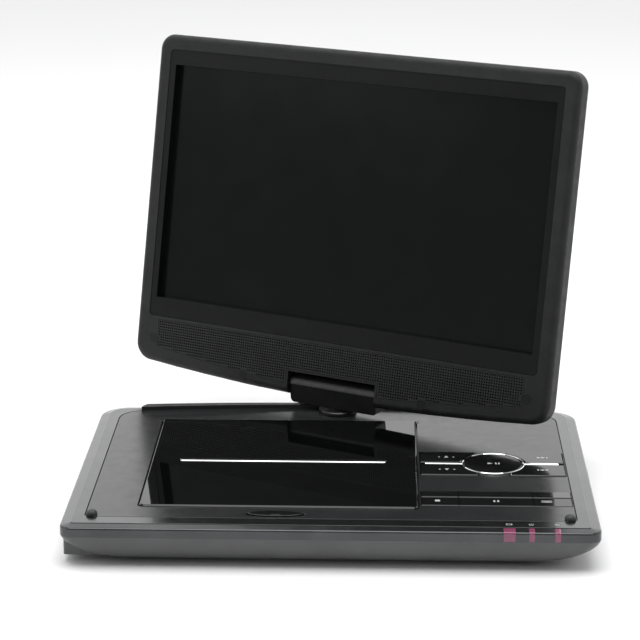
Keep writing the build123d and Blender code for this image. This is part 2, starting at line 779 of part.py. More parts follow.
def row_key(left, right, x, y):
    """Long key in two steps: a low, flat front half and a higher rear half that falls away."""
    with BuildPart() as cap:
        with BuildSketch(Plane.YZ.offset(left)):
            with BuildLine():
                Polyline(
                    (row_front + key_gap, key_bottom),
                    (row_front + key_gap, key_top - 0.8),
                    (row_front + key_gap + 0.45, key_top - 0.35),
                    (row_crease - 0.35, key_top - 0.35),
                    (row_crease, key_top),
                    (row_back - key_gap, key_top - 0.3),
                    (row_back - key_gap, key_bottom),
                    close=True,
                )
            make_face()
        extrude(amount=right - left)
        add(stem(x, y))
    return cap.part


with BuildPart() as stop_key:
    add(row_key(column_edges[0] + key_gap, column_edges[1] - key_gap / 2, *row_stems[0]))
save(stop_key, "stop_key")

with BuildPart() as pause_key:
    add(row_key(column_edges[1] + key_gap / 2, column_edges[2] - key_gap / 2, *row_stems[1]))
save(pause_key, "pause_key")

with BuildPart() as menu_key:
    add(row_key(column_edges[2] + key_gap / 2, column_edges[3] - key_gap, *row_stems[2]))
save(menu_key, "menu_key")

with BuildPart() as key_board:
    with BuildSketch(Plane.XY.offset(key_board_bottom)):
        with Locations(((key_board_left + key_board_right) / 2, (key_board_front + key_board_rear) / 2)):
            Rectangle(key_board_right - key_board_left, key_board_rear - key_board_front)
        with Locations(*peg_spots):
            Circle(1.1, mode=Mode.SUBTRACT)
    extrude(amount=key_board_top - key_board_bottom)
    # one push switch under every stem
    with BuildSketch(Plane.XY.offset(key_board_top)):
        with Locations(*cluster_stems, *row_stems, (ring_x, keys_y)):
            Rectangle(4.2, 3.2)
    extrude(amount=0.6)
    with BuildSketch(Plane.XY.offset(key_board_top)):
        with Locations(*cluster_stems, *row_stems, (ring_x, keys_y)):
            Circle(1.0)
    extrude(amount=switch_top - key_board_top)
save(key_board, "key_board")

# ------------------------------------------------------------------ disc deck

chassis_bottom = 6.4
chassis_top = 7.4
post_spots = ((-54, -11), (18, -11), (-54, 68.5), (18, 68.5))
post_bottom = 8.8
slot_half = 8.5
slot_rear = 64.2

with BuildPart() as disc_tray:
    with BuildSketch(Plane.XY.offset(well_bottom)):
        with Locations(((well_left + well_right) / 2, (well_front + well_rear) / 2)):
            Rectangle(well_right - well_left, well_rear - well_front)
    extrude(amount=panel_bottom - well_bottom)
    # round well for the disc
    with BuildSketch(Plane.XY.offset(well_floor)):
        with Locations((disc_x, disc_y)):
            Circle(well_radius)
    extrude(amount=panel_bottom - well_floor, mode=Mode.SUBTRACT)
    # trough that the lid's knuckle turns in
    with BuildSketch(Plane.XY.offset(lid_axis_z - 2.4)):
        with Locations(((lid_left + lid_right) / 2, lid_axis_y)):
            Rectangle(lid_right - lid_left + 0.6, 5.0)
    extrude(amount=3.0, mode=Mode.SUBTRACT)
    # ears that hold the lid's stubs
    with BuildSketch(Plane.XY.offset(lid_axis_z - 2.4)):
        with Locations(*[(x, lid_axis_y) for x in ear_spots]):
            Rectangle(ear_width, 2 * ear_half)
    extrude(amount=top_z - lid_axis_z + 2.4)
    with BuildSketch(Plane.YZ.offset(lid_left - 2.0)):
        with Locations((lid_axis_y, lid_axis_z)):
            Circle(pin_radius + 0.05)
    extrude(amount=lid_right - lid_left + 4.0, mode=Mode.SUBTRACT)
    # slots for the lid's tab, the turntable and the pickup
    with BuildSketch(Plane.XY.offset(well_floor)):
        with Locations((disc_x, -62.1)):
            Rectangle(13.0, 4.0)
    extrude(amount=panel_bottom - well_floor, mode=Mode.SUBTRACT)
    with BuildSketch(Plane.XY.offset(well_bottom)):
        with Locations((disc_x, disc_y)):
            Circle(15.5)
        with Locations((disc_x, (disc_y + slot_rear) / 2)):
            Rectangle(2 * slot_half, slot_rear - disc_y)
    extrude(amount=well_floor - well_bottom, mode=Mode.SUBTRACT)
    # pocket for the catch spring in the front wall
    with BuildSketch(Plane.XY.offset(well_floor)):
        with Locations((disc_x, -64.4)):
            Rectangle(16.2, 0.7)
    extrude(amount=panel_bottom - well_floor, mode=Mode.SUBTRACT)
    # posts that the mechanism hangs from
    with BuildSketch(Plane.XY.offset(post_bottom)):
        with Locations(*post_spots):
            Circle(2.8)
            Circle(0.95, mode=Mode.SUBTRACT)
    extrude(amount=well_bottom - post_bottom)
save(disc_tray, "disc_tray")

# leaf spring that grips the lid's tab
with BuildPart() as lid_catch:
    with BuildSketch(Plane.XY.offset(well_floor)):
        with Locations((disc_x, -64.4)):
            Rectangle(15.8, 0.5)
    extrude(amount=3.8)
    with BuildSketch(Plane.XY.offset(15.3)):
        with Locations((disc_x, -63.7)):
            Rectangle(5.0, 1.0)
    extrude(amount=1.6)
save(lid_catch, "lid_catch")

rod_z = 9.4
rod_radius = 1.5
rod_spots = (disc_x - 20, disc_x + 20)
holder_spots = (7.5, 71.5)
screw_x = 3.15
screw_radius = 1.2
sled_y = disc_y + 37.0

with BuildPart() as deck_chassis:
    with BuildSketch(Plane.XY.offset(chassis_bottom)):
        with Locations(((-60 + 24) / 2, (-16 + 73.5) / 2)):
            RectangleRounded(84, 89.5, 3)
        with Locations(*post_spots):
            Circle(2.2, mode=Mode.SUBTRACT)
        with Locations((screw_x, 7.5)):
            Rectangle(7.0, 10.4, mode=Mode.SUBTRACT)
        with Locations((disc_x, 40.0)):
            RectangleRounded(24, 44, 2, mode=Mode.SUBTRACT)
    extrude(amount=chassis_top - chassis_bottom)
    # rod holders and the lead screw's rear bearing
    with BuildSketch(Plane.XY.offset(chassis_top)):
        with Locations(*[(x, y) for x in rod_spots for y in holder_spots]):
            Rectangle(6, 3)
        with Locations((screw_x, 70.0)):
            Rectangle(5, 2)
    extrude(amount=4.0)
    with BuildSketch(Plane.XZ.offset(-75)):
        with Locations(*[(x, rod_z) for x in rod_spots]):
            Circle(rod_radius + 0.02)
    extrude(amount=70, mode=Mode.SUBTRACT)
    with BuildSketch(Plane.XZ.offset(-75)):
        with Locations((screw_x, rod_z)):
            Circle(screw_radius + 0.06)
    extrude(amount=10, mode=Mode.SUBTRACT)
save(deck_chassis, "deck_chassis")

with BuildPart() as deck_dampers:
    with BuildSketch(Plane.XY.offset(chassis_bottom - 1.4)):
        with Locations(*post_spots):
            Circle(3.4)
    extrude(amount=post_bottom - chassis_bottom + 1.4)
    # waist that the chassis plate sits in, and hole for the screw
    with BuildSketch(Plane.XY.offset(chassis_bottom)):
        with Locations(*post_spots):
            Circle(4.0)
            Circle(2.1, mode=Mode.SUBTRACT)
    extrude(amount=chassis_top - chassis_bottom, mode=Mode.SUBTRACT)
    with BuildSketch(Plane.XY):
        with Locations(*post_spots):
            Circle(1.1)
    extrude(amount=20, mode=Mode.SUBTRACT)
save(deck_dampers, "deck_dampers")

inner_screw_seats = (
    (post_spots, chassis_bottom - 1.4, 1, 6.6),
    (bracket_spots, bracket_bottom, 1, 3.4),
    (board_posts, board_top, -1, 4.2),
)

with BuildPart() as inner_screws:
    for spots, seat, way, length in inner_screw_seats:
        with BuildSketch(Plane.XY.offset(seat)):
            with Locations(*spots):
                Circle(2.0)
        extrude(amount=-0.9 * way)
        with BuildSketch(Plane.XY.offset(seat)):
            with Locations(*spots):
                Circle(0.9)
        extrude(amount=length * way)
save(inner_screws, "inner_screws")

motor_radius = 11.5
motor_top = 11.4
with BuildPart() as deck_motors:
    with BuildSketch(Plane.XY.offset(chassis_top)):
        with Locations((disc_x, disc_y)):
            Circle(motor_radius)
    extrude(amount=motor_top - chassis_top)
    with BuildSketch(Plane.XY.offset(chassis_top + 0.6)):
        with Locations((disc_x, disc_y)):
            Circle(1.05)
    extrude(amount=motor_top - chassis_top, mode=Mode.SUBTRACT)
    # sled motor lying in the chassis cut-out
    with BuildSketch(Plane.XZ.offset(-12)):
        with Locations((screw_x, rod_z)):
            Circle(3.0)
    extrude(amount=9.0)
    with BuildSketch(Plane.XZ.offset(-12)):
        with Locations((screw_x, rod_z)):
            Circle(screw_radius + 0.06)
    extrude(amount=3.0, mode=Mode.SUBTRACT)
save(deck_motors, "deck_motors")

with BuildPart() as guide_rods:
    with BuildSketch(Plane.XZ.offset(-73)):
        with Locations(*[(x, rod_z) for x in rod_spots]):
            Circle(rod_radius)
    extrude(amount=67)
save(guide_rods, "guide_rods")

with BuildPart() as lead_screw:
    with BuildSketch(Plane.XZ.offset(-71.5)):
        with Locations((screw_x, rod_z)):
            Circle(screw_radius)
    extrude(amount=61.5)
save(lead_screw, "lead_screw")

with BuildPart() as disc_hub:
    with BuildSketch(Plane.XY.offset(chassis_top + 0.9)):
        with Locations((disc_x, disc_y)):
            Circle(1.0)
    extrude(amount=5.0)
    with BuildSketch(Plane.XY.offset(motor_top + 0.4)):
        with Locations((disc_x, disc_y)):
            Circle(10.5)
    extrude(amount=2.8)
    with BuildSketch(Plane.XY.offset(motor_top + 3.2)):
        with Locations((disc_x, disc_y)):
            Circle(14.5)
    extrude(amount=1.4)
    with BuildSketch(Plane.XY.offset(motor_top + 4.6)):
        with Locations((disc_x, disc_y)):
            Circle(7.4)
    extrude(amount=2.2)
    chamfer(disc_hub.faces().sort_by(Axis.Z)[-1].edges(), 1.0)
    # three snap fingers around the boss
    with Locations((disc_x, disc_y, motor_top + 5.7)):
        with PolarLocations(7.0, 3):
            Sphere(0.9)
save(disc_hub, "disc_hub")

with BuildPart() as laser_sled:
    with BuildSketch(Plane.XY.offset(chassis_top + 0.5)):
        with Locations((disc_x, sled_y)):
            RectangleRounded(47, 18, 2)
    extrude(amount=4.1)
    with BuildSketch(Plane.XY.offset(12.0)):
        with Locations((disc_x, sled_y)):
            RectangleRounded(14, 8, 1)
    extrude(amount=1.4)
    # arm with the nut that rides on the lead screw
    with BuildSketch(Plane.XY.offset(chassis_top + 0.5)):
        with Locations(((disc_x + 23 + screw_x + 2.4) / 2, sled_y)):
            Rectangle(screw_x + 2.4 - disc_x - 23, 8)
    extrude(amount=3.2)
    with BuildSketch(Plane.XZ.offset(-sled_y - 10)):
        with Locations(*[(x, rod_z) for x in rod_spots]):
            Circle(rod_radius + 0.05)
        with Locations((screw_x, rod_z)):
            Circle(screw_radius + 0.08)
    extrude(amount=20, mode=Mode.SUBTRACT)
save(laser_sled, "laser_sled")

with BuildPart() as objective_lens:
    with BuildSketch(Plane.XY.offset(13.4)):
        with Locations((disc_x, sled_y)):
            Circle(2.2)
    extrude(amount=0.7)
    fillet(objective_lens.faces().sort_by(Axis.Z)[-1].edges(), 0.5)
save(objective_lens, "objective_lens")

# ------------------------------------------------------------------ circuit boards

with BuildPart() as main_board:
    with BuildSketch(Plane.XY.offset(board_bottom)):
        with Locations(((47 + 108) / 2, 0)):
            Rectangle(61, 144)
        with Locations(*board_posts):
            Circle(1.1, mode=Mode.SUBTRACT)
        with Locations(*boss_spots):
            Circle(4.2, mode=Mode.SUBTRACT)
    extrude(amount=board_top - board_bottom)
    # narrow board under the side sockets
    with BuildSketch(Plane.XY.offset(port_bottom + wall)):
        with Locations((-112.8, -38.0)):
            Rectangle(17.6, 78)
    extrude(amount=1.0)
save(main_board, "main_board")

chip_blocks = (
    (70, -20, 20, 20, 1.6),
    (92, -22, 10, 16, 1.2),
    (70, 10, 16, 8, 1.2),
    (92, 12, 6, 5, 1.4),
    (60, 40, 18, 6, 4.5),
    (88, -44, 12, 6, 3.0),
    (60, -50, 8, 8, 3.6),
)
can_spots = ((80, 36), (88, 36), (80, 46), (88, 46))
with BuildPart() as board_parts:
    for x, y, width, depth, height in chip_blocks:
        with BuildSketch(Plane.XY.offset(board_top)):
            with Locations((x, y)):
                Rectangle(width, depth)
        extrude(amount=height)
    with BuildSketch(Plane.XY.offset(board_top)):
        with Locations(*can_spots):
            Circle(3.0)
    extrude(amount=5.5)
save(board_parts, "board_parts")

# ------------------------------------------------------------------ swivel and tilt hinge

with BuildPart() as swivel_bracket:
    with BuildSketch(Plane.XY.offset(bracket_bottom)):
        with Locations((0, 82.5)):
            RectangleRounded(44, 18, 2)
        with Locations((0, pivot_y)):
            Circle(shaft_radius + 0.05, mode=Mode.SUBTRACT)
        with Locations(*bracket_spots):
            Circle(1.0, mode=Mode.SUBTRACT)
    extrude(amount=bracket_top - bracket_bottom)
save(swivel_bracket, "swivel_bracket")

axle_foot_z = 27.2
shaft_bore = 1.9
with BuildPart() as swivel_shaft:
    with BuildSketch(swivel_plane.offset(9.5)):
        Circle(shaft_radius)
        Circle(shaft_bore, mode=Mode.SUBTRACT)
    extrude(amount=axle_foot_z - 9.5)
save(swivel_shaft, "swivel_shaft")

with BuildPart() as swivel_washers:
    for bottom, height, radius in ((12.6, 0.9, 7.5), (11.5, 0.9, 7.0)):
        with BuildSketch(swivel_plane.offset(bottom)):
            Circle(radius)
            Circle(shaft_radius, mode=Mode.SUBTRACT)
        extrude(amount=height)
    with BuildSketch(swivel_plane.offset(9.8)):
        RegularPolygon(7.0, 6)
        Circle(shaft_radius, mode=Mode.SUBTRACT)
    extrude(amount=1.5)
save(swivel_washers, "swivel_washers")

collar_top = 22.7
with BuildPart() as swivel_collar:
    with BuildSketch(swivel_plane.offset(top_z + 0.3)):
        Circle(collar_radius)
    extrude(amount=collar_top - top_z - 0.3)
    chamfer(swivel_collar.faces().sort_by(Axis.Z)[-1].edges(), 0.5)
    with BuildSketch(swivel_plane.offset(collar_top)):
        Circle(neck_half)
    extrude(amount=block_bottom - collar_top)
    with BuildSketch(swivel_plane.offset(top_z)):
        Circle(shaft_radius + 0.02)
    extrude(amount=10, mode=Mode.SUBTRACT)
save(swivel_collar, "swivel_collar")


def block_section(inward):
    """Section of the hinge block: a round top, a crease on each side, and sides that lean in below it."""
    angle = math.radians(crease_angle)
    radius = barrel_radius - inward
    crease_y = radius * math.cos(angle)
    crease_z = radius * math.sin(angle)
    floor = block_bottom - tilt_z + inward
    with BuildSketch() as section:
        with BuildLine():
            ThreePointArc((crease_y, crease_z), (0, radius), (-crease_y, crease_z))
            Polyline((-crease_y, crease_z), (-neck_half + inward, floor), (neck_half - inward, floor),
                     (crease_y, crease_z))
        make_face()
    return section.sketch


cover_wall = 1.4


def cover_shell():
    """The hinge block's hollow cover, closed at both ends, with holes for the shaft and the tilt pins."""
    with BuildPart() as shell:
        with BuildSketch(section_plane.offset(-block_width / 2)):
            add(block_section(0))
        extrude(amount=block_width)
        fillet(shell.faces().sort_by(Axis.Z)[0].edges().filter_by(backwards_line), 2.2)
        with BuildSketch(section_plane.offset(-block_width / 2 + cover_wall)):
            add(block_section(cover_wall))
        extrude(amount=block_width - 2 * cover_wall, mode=Mode.SUBTRACT)
        with BuildSketch(section_plane.offset(-block_width / 2 - 1)):
            Circle(tilt_pin_radius + 0.1)
        extrude(amount=block_width + 2, mode=Mode.SUBTRACT)
        with BuildSketch(swivel_plane.offset(block_bottom - 0.5)):
            Circle(shaft_radius + 0.1)
        extrude(amount=cover_wall + 1, mode=Mode.SUBTRACT)
    return shell.part


backwards_line = Axis(pivot, backwards)
cover_split = Plane(origin=pivot, x_dir=along, z_dir=backwards)
with BuildPart() as hinge_cover_front:
    add(cover_shell())
    split(bisect_by=cover_split, keep=Keep.BOTTOM)
save(hinge_cover_front, "hinge_cover_front")

with BuildPart() as hinge_cover_rear:
    add(cover_shell())
    split(bisect_by=cover_split, keep=Keep.TOP)
save(hinge_cover_rear, "hinge_cover_rear")

axle_half = 33.2
with BuildPart() as tilt_axle:
    with BuildSketch(section_plane.offset(-axle_half)):
        Circle(tilt_pin_radius)
    extrude(amount=2 * axle_half)
    with BuildSketch(section_plane.offset(-22)):
        Circle(4.1)
    extrude(amount=44)
    with BuildSketch(swivel_plane.offset(axle_foot_z)):
        Rectangle(18, 7.2)
    extrude(amount=tilt_z - axle_foot_z)
    with BuildSketch(swivel_plane.offset(axle_foot_z - 0.5)):
        Circle(shaft_bore)
    extrude(amount=5.5, mode=Mode.SUBTRACT)
save(tilt_axle, "tilt_axle")

# ------------------------------------------------------------------ screen

front_round = 3.4
back_round = 5.5
front_inside = 5.9  # inner face of the front shell
seat_n = 7.3  # ledge that the bezel and the grille lie on
back_inside = back_n + skin
arm_inner = 29.0
arm_outer = 33.0
arm_radius = 3.3
arm_plate_n = -2.2
arm_plate_top = -0.6
arm_screw_spots = ((-37, 13), (-37, 21), (37, 13), (37, 21))
ledge = 1.75


def notch_walls(deep, shallow):
    """Walls around the hinge notch, between two depths."""
    with BuildPart() as walls:
        with BuildSketch(screen_plane.offset(deep)):
            with Locations((0, (notch_top + 2.0 - 2.8) / 2)):
                Rectangle(notch_width + 4, notch_top + 2.0 + 2.8)
        extrude(amount=shallow - deep)
    return walls.part


def hinge_room():
    """Space taken out of the housing for the hinge block, the pins and the arms' knuckles."""
    with BuildPart() as room:
        with BuildSketch(screen_plane.offset(-20)):
            with Locations((0, (notch_top - 20) / 2)):
                Rectangle(notch_width, notch_top + 20)
        extrude(amount=40)
        with BuildSketch(section_plane.offset(-axle_half - 0.4)):
            Circle(tilt_pin_radius + 0.3)
        extrude(amount=2 * axle_half + 0.8)
        for start in (-arm_outer - 0.4, arm_inner - 0.4):
            with BuildSketch(section_plane.offset(start)):
                Circle(arm_radius + 0.3)
            extrude(amount=arm_outer - arm_inner + 0.8)
    return room.part


with BuildPart() as screen_front:
    with BuildSketch(screen_plane.offset(split_n)):
        add(screen_outline(0))
    extrude(amount=front_n - split_n)
    fillet(screen_front.faces().sort_by(Axis(pivot, facing))[-1].edges(), front_round)
    with BuildSketch(screen_plane.offset(split_n)):
        add(screen_outline(3.0))
    extrude(amount=front_inside - split_n, mode=Mode.SUBTRACT)
    add(notch_walls(split_n, front_inside + 0.5))
    # screw bosses
    with BuildSketch(screen_plane.offset(split_n)):
        with Locations(*cap_spots):
            Circle(3.2)
    extrude(amount=front_inside - split_n)
    with BuildSketch(screen_plane.offset(front_inside - 1.0)):
        with Locations(*cap_spots):
            Circle(2.45)
    extrude(amount=6, mode=Mode.SUBTRACT)
    with BuildSketch(screen_plane.offset(split_n)):
        with Locations(*cap_spots):
            Circle(1.35)
    extrude(amount=6, mode=Mode.SUBTRACT)
    # seat and opening for the bezel and the picture
    with BuildSketch(screen_plane.offset(seat_n)):
        with Locations((0, (bezel_bottom + bezel_top) / 2)):
            RectangleRounded(bezel_width + 0.4, bezel_top - bezel_bottom + 0.4, 2.2)
    extrude(amount=3, mode=Mode.SUBTRACT)
    with BuildSketch(screen_plane.offset(split_n)):
        with Locations((0, (window_bottom + window_top) / 2)):
            Rectangle(window_width + 2 * ledge, window_top - window_bottom + 2 * ledge)
    extrude(amount=9, mode=Mode.SUBTRACT)
    # seat for the grille and openings in front of the speakers
    with BuildSketch(screen_plane.offset(seat_n)):
        add(grille_outline(-0.15))
    extrude(amount=3, mode=Mode.SUBTRACT)
    with BuildSketch(screen_plane.offset(split_n)):
        with Locations((-speaker_x, speaker_v), (speaker_x, speaker_v)):
            RectangleRounded(36, 9, 1)
    extrude(amount=9, mode=Mode.SUBTRACT)
    add(hinge_room(), mode=Mode.SUBTRACT)
save(screen_front, "screen_front")

with BuildPart() as screen_rear:
    with BuildSketch(screen_plane.offset(back_n)):
        add(screen_outline(0))
    extrude(amount=split_n - back_n)
    fillet(screen_rear.faces().sort_by(Axis(pivot, facing))[0].edges(), back_round)
    with BuildSketch(screen_plane.offset(back_inside)):
        add(screen_outline(2.5))
    extrude(amount=split_n - back_inside, mode=Mode.SUBTRACT)
    add(notch_walls(back_inside - 0.1, split_n))
    with BuildSketch(screen_plane.offset(back_inside)):
        with Locations(*cap_spots):
            Circle(3.0)
    extrude(amount=split_n - back_inside)
    with BuildSketch(screen_plane.offset(back_inside - 0.8)):
        with Locations(*cap_spots):
            Circle(1.25)
    extrude(amount=8, mode=Mode.SUBTRACT)
    # bosses for the hinge arms
    with BuildSketch(screen_plane.offset(back_inside)):
        with Locations(*arm_screw_spots):
            Circle(2.6)
    extrude(amount=arm_plate_n - back_inside)
    with BuildSketch(screen_plane.offset(back_inside - 1.1)):
        with Locations(*arm_screw_spots):
            Circle(0.95)
    extrude(amount=4, mode=Mode.SUBTRACT)
    add(hinge_room(), mode=Mode.SUBTRACT)
save(screen_rear, "screen_rear")

with BuildPart() as hinge_arms:
    for side in (-1, 1):
        inner = arm_inner if side > 0 else -arm_outer
        with BuildSketch(section_plane.offset(inner)):
            Circle(arm_radius)
        extrude(amount=arm_outer - arm_inner)
        with BuildSketch(screen_plane.offset(arm_plate_n)):
            with Locations((side * (arm_inner + arm_outer) / 2, 12)):
                Rectangle(arm_outer - arm_inner, 24)
            with Locations((side * 36, 17)):
                Rectangle(14, 14)
            with Locations((side * 37, 13), (side * 37, 21)):
                Circle(1.0, mode=Mode.SUBTRACT)
        extrude(amount=arm_plate_top - arm_plate_n)
        with BuildSketch(section_plane.offset(inner - 1)):
            Circle(tilt_pin_radius + 0.05)
        extrude(amount=arm_outer - arm_inner + 2, mode=Mode.SUBTRACT)
save(hinge_arms, "hinge_arms")

with BuildPart() as screen_bezel:
    with BuildSketch(screen_plane.offset(seat_n)):
        with Locations((0, (bezel_bottom + bezel_top) / 2)):
            RectangleRounded(bezel_width, bezel_top - bezel_bottom, 2.0)
        with Locations((0, (window_bottom + window_top) / 2)):
            Rectangle(window_width, window_top - window_bottom, mode=Mode.SUBTRACT)
    extrude(amount=1.15)
    # skirt running down to the glass
    with BuildSketch(screen_plane.offset(glass_n + 0.2)):
        with Locations((0, (window_bottom + window_top) / 2)):
            Rectangle(window_width + 2.4, window_top - window_bottom + 2.4)
            Rectangle(window_width, window_top - window_bottom, mode=Mode.SUBTRACT)
    extrude(amount=seat_n - glass_n - 0.2)
save(screen_bezel, "screen_bezel")

with BuildPart() as lcd_panel:
    with BuildSketch(screen_plane.offset(glass_n - 1.5)):
        with Locations((0, (window_bottom + window_top) / 2)):
            Rectangle(231, window_top - window_bottom + 5)
    extrude(amount=1.5)
save(lcd_panel, "lcd_panel")

with BuildPart() as backlight:
    with BuildSketch(screen_plane.offset(back_inside)):
        with Locations((0, (window_bottom + window_top) / 2)):
            Rectangle(233, window_top - window_bottom + 7.5)
    extrude(amount=glass_n - 1.5 - back_inside)
save(backlight, "backlight")

with BuildPart() as speaker_grille:
    with BuildSketch(screen_plane.offset(seat_n)):
        add(grille_outline(0))
    extrude(amount=front_n - seat_n)
save(speaker_grille, "speaker_grille")

with BuildPart() as speakers:
    with BuildSketch(screen_plane.offset(0.5)):
        with Locations((-speaker_x, speaker_v), (speaker_x, speaker_v)):
            RectangleRounded(40, 13, 3)
    extrude(amount=front_inside - 0.5)
    with BuildSketch(screen_plane.offset(front_inside - 1.0)):
        with Locations((-speaker_x, speaker_v), (speaker_x, speaker_v)):
            RectangleRounded(34, 8, 3)
    extrude(amount=1.0, mode=Mode.SUBTRACT)
    # round magnets behind
    with BuildSketch(screen_plane.offset(-2.5)):
        with Locations((-speaker_x, speaker_v), (speaker_x, speaker_v)):
            Circle(6.0)
    extrude(amount=3.0)
save(speakers, "speakers")

with BuildPart() as screen_board:
    with BuildSketch(screen_plane.offset(-2.6)):
        with Locations((0, 20)):
            Rectangle(50, 18)
    extrude(amount=1.6)
    with BuildSketch(screen_plane.offset(-1.0)):
        with Locations((-14, 20), (12, 21)):
            Rectangle(9, 7)
    extrude(amount=1.5)
save(screen_board, "screen_board")

with BuildPart() as screw_caps:
    with BuildSketch(screen_plane.offset(seat_n + 0.3)):
        with Locations(*cap_spots):
            Circle(2.35)
    extrude(amount=front_n - seat_n - 0.3)
save(screw_caps, "screw_caps")

with BuildPart() as screen_screws:
    with BuildSketch(screen_plane.offset(front_inside - 1.0)):
        with Locations(*cap_spots):
            Circle(2.2)
    extrude(amount=1.6)
    with BuildSketch(screen_plane.offset(front_inside - 1.0)):
        with Locations(*cap_spots):
            Circle(1.2)
    extrude(amount=-8.6)
    with BuildSketch(screen_plane.offset(arm_plate_top)):
        with Locations(*arm_screw_spots):
            Circle(1.9)
    extrude(amount=0.9)
    with BuildSketch(screen_plane.offset(arm_plate_top)):
        with Locations(*arm_screw_spots):
            Circle(0.9)
    extrude(amount=-3.4)
save(screen_screws, "screen_screws")
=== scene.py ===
import json
import math

import bmesh
import bpy
from mathutils import Matrix, Vector


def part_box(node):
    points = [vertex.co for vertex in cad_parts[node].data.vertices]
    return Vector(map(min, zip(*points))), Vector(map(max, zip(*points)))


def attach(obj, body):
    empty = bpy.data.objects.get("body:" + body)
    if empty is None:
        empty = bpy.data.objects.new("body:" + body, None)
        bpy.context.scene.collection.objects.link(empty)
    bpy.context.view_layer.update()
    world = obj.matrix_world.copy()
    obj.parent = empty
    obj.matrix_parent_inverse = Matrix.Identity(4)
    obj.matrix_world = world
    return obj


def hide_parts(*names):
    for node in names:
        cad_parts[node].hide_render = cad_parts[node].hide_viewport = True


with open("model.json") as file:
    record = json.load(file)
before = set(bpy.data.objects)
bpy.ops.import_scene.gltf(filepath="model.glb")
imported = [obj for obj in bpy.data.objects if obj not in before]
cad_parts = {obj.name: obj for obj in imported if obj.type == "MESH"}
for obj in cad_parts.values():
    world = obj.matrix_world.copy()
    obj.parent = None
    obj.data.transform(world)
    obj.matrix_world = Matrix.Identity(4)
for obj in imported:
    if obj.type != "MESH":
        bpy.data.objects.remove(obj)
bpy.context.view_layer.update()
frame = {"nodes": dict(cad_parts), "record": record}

MM = 0.001

# ------------------------------------------------------------------ places read from the frame

joints = {joint["name"]: joint for joint in frame["record"]["behaviour"]["joints"]}
nodes = frame["nodes"]
tilt = joints["screen_tilt"]
PIVOT = Vector(tilt["pos_m"])
ALONG = -Vector(tilt["axis"]).normalized()  # along the tilt axis, towards the screen's right end
LEAN = math.radians(10.3)  # how far the screen leans back at rest
BACKWARDS = Vector((0, 0, 1)).cross(ALONG)
UPWARDS = Vector((0, 0, 1)) * math.cos(LEAN) + BACKWARDS * math.sin(LEAN)
FACING = Vector((0, 0, 1)) * math.sin(LEAN) - BACKWARDS * math.cos(LEAN)


def top(node):
    """The middle of the top of a CAD node's box."""
    low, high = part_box(node)
    point = (Vector(low) + Vector(high)) / 2
    point.z = high[2]
    return point


# ------------------------------------------------------------------ materials


class Nodes:
    """A small helper that writes one material's node tree."""

    def __init__(self, name):
        self.material = bpy.data.materials.new(name)
        self.material.use_nodes = True
        self.tree = self.material.node_tree
        self.shader = self.tree.nodes["Principled BSDF"]
        coordinates = self.tree.nodes.new("ShaderNodeTexCoord")
        self.place = coordinates.outputs["Object"]

    def add(self, kind, **values):
        node = self.tree.nodes.new(kind)
        for key, value in values.items():
            if hasattr(node, key):
                setattr(node, key, value)
            else:
                node.inputs[key].default_value = value
        return node

    def link(self, source, target):
        self.tree.links.new(source, target)

    def noise(self, scale, detail=2.0, roughness=0.5, stretch=None):
        node = self.add("ShaderNodeTexNoise")
        node.inputs["Scale"].default_value = scale
        node.inputs["Detail"].default_value = detail
        node.inputs["Roughness"].default_value = roughness
        if stretch:
            mapping = self.add("ShaderNodeMapping")
            mapping.inputs["Scale"].default_value = stretch
            self.link(self.place, mapping.inputs["Vector"])
            self.link(mapping.outputs["Vector"], node.inputs["Vector"])
        else:
            self.link(self.place, node.inputs["Vector"])
        return node.outputs["Fac"]

    def ramp(self, source, low, high, start=0.3, end=0.7):
        node = self.add("ShaderNodeValToRGB")
        node.color_ramp.elements[0].position = start
        node.color_ramp.elements[1].position = end
        node.color_ramp.elements[0].color = (*low, 1)
        node.color_ramp.elements[1].color = (*high, 1)
        self.link(source, node.inputs["Fac"])
        return node.outputs["Color"]

    def span(self, source, low, high, start=0.3, end=0.7):
        node = self.add("ShaderNodeMapRange")
        node.inputs["From Min"].default_value = start
        node.inputs["From Max"].default_value = end
        node.inputs["To Min"].default_value = low
        node.inputs["To Max"].default_value = high
        self.link(source, node.inputs["Value"])
        return node.outputs["Result"]

    def bump(self, source, distance):
        node = self.add("ShaderNodeBump")
        node.inputs["Distance"].default_value = distance
        node.inputs["Strength"].default_value = 1.0
        self.link(source, node.inputs["Height"])
        return node.outputs["Normal"]


COAT_ROUGHNESS = 0.03


